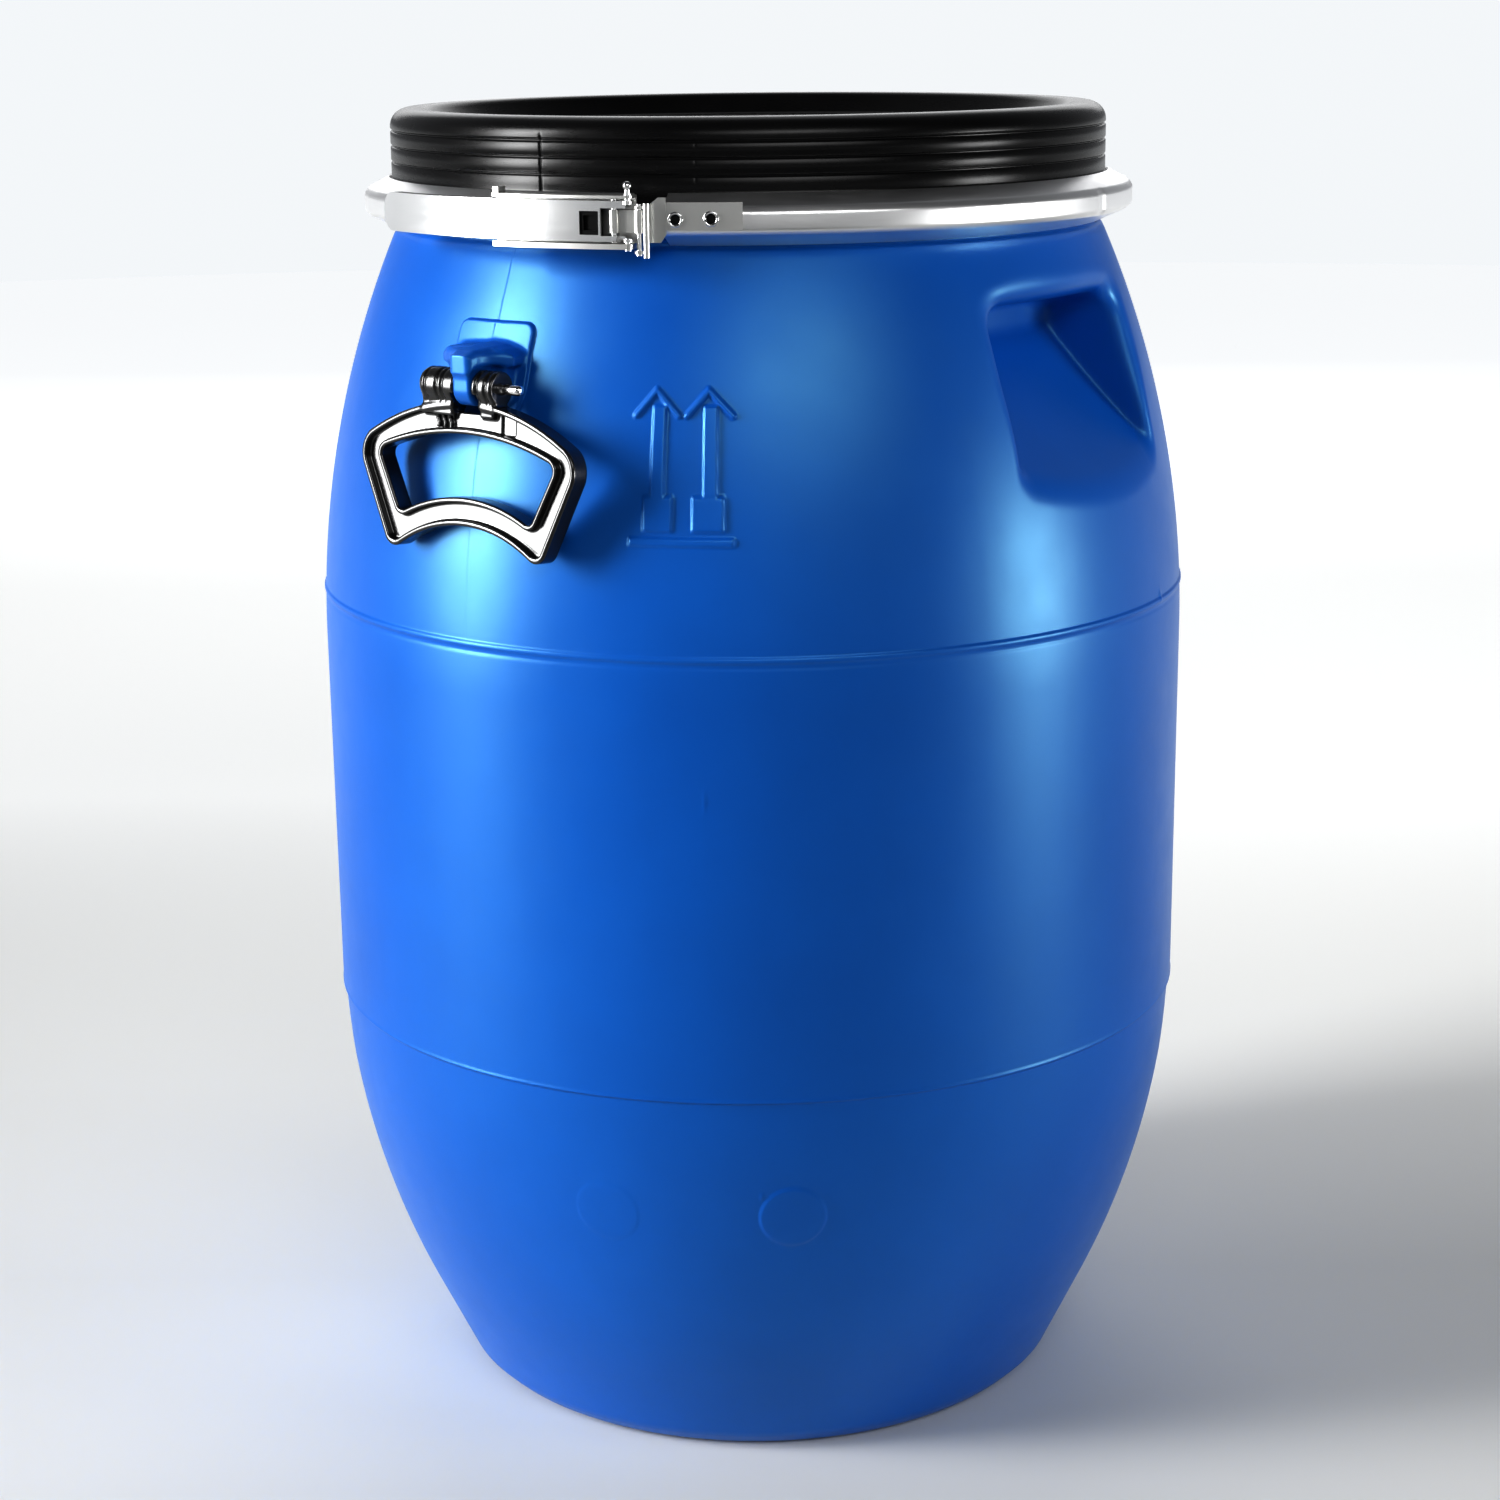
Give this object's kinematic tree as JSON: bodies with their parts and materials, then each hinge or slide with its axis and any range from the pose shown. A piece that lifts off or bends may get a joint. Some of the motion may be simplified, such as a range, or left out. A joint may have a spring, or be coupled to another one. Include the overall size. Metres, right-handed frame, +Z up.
{
  "type": "plastic open head drum",
  "caption": "Barrel-shaped plastic drum with a removable lid held by a clamping ring with a toggle lever, recessed grips and swing handles.",
  "frame": {"origin": "centre of the base on the floor", "axes": "+Z up along the drum's axis, +Y through one recessed grip, +X through one swing handle; the lever's hinge is between -X and -Y"},
  "size_m": [0.412, 0.4002, 0.597],
  "materials": {
    "blue_hdpe": "satin moulded, slightly mottled",
    "black_lid": "semi-gloss moulded",
    "gasket_rubber": "matte",
    "galvanised_band": "bright galvanised",
    "galvanised_closure": "galvanised",
    "galvanised_lever": "bright galvanised",
    "bright_pins": "bright zinc",
    "black_plug": "moulded",
    "black_handle": "glossy moulded"
  },
  "bodies": {
    "drum": {"drum_body": "blue_hdpe", "left_handle_pin": "bright_pins", "right_handle_pin": "bright_pins"},
    "lid": {"lid": "black_lid", "lid_gasket": "gasket_rubber"},
    "ring": {"ring_band": "galvanised_band", "left_bracket": "galvanised_closure", "left_rivets": "galvanised_closure", "upper_hinge_pin": "bright_pins", "lower_hinge_pin": "bright_pins"},
    "lever": {"lever": "galvanised_lever", "lever_plug": "black_plug", "lever_link_pin": "bright_pins"},
    "ring_end": {"right_bracket": "galvanised_closure", "right_rivets": "galvanised_closure", "pull_link": "galvanised_closure", "bracket_link_pin": "bright_pins"},
    "left_handle": {"left_handle": "black_handle"},
    "right_handle": {"right_handle": "black_handle"}
  },
  "joints": [
    {"name": "lid_lift", "type": "slide", "parent": "drum", "child": "lid", "axis": [0, 0, 1], "range_m": [0, 0.08]},
    {"name": "ring_lift", "type": "slide", "parent": "drum", "child": "ring", "axis": [0, 0, 1], "range_m": [0, 0.16], "deforming": ["ring_band"]},
    {"name": "lever_hinge", "type": "hinge", "parent": "ring", "child": "lever", "pos_m": [-0.16724, -0.06655, 0.557], "axis": [0, 0, 1], "range_deg": [0, 140]},
    {"name": "link_pivot", "type": "hinge", "parent": "lever", "child": "ring_end", "pos_m": [-0.1676, -0.0597, 0.557], "axis": [0, 0, 1], "range_deg": [-140, 0]},
    {"name": "left_handle_swing", "type": "hinge", "parent": "drum", "child": "left_handle", "pos_m": [-0.1955, 0, 0.49], "axis": [0, 1, 0], "range_deg": [0, 105]},
    {"name": "right_handle_swing", "type": "hinge", "parent": "drum", "child": "right_handle", "pos_m": [0.1955, 0, 0.49], "axis": [0, -1, 0], "range_deg": [0, 105]}
  ],
  "couplings": [
    {"joint": "link_pivot", "follows": "lever_hinge", "ratio": -1}
  ]
}
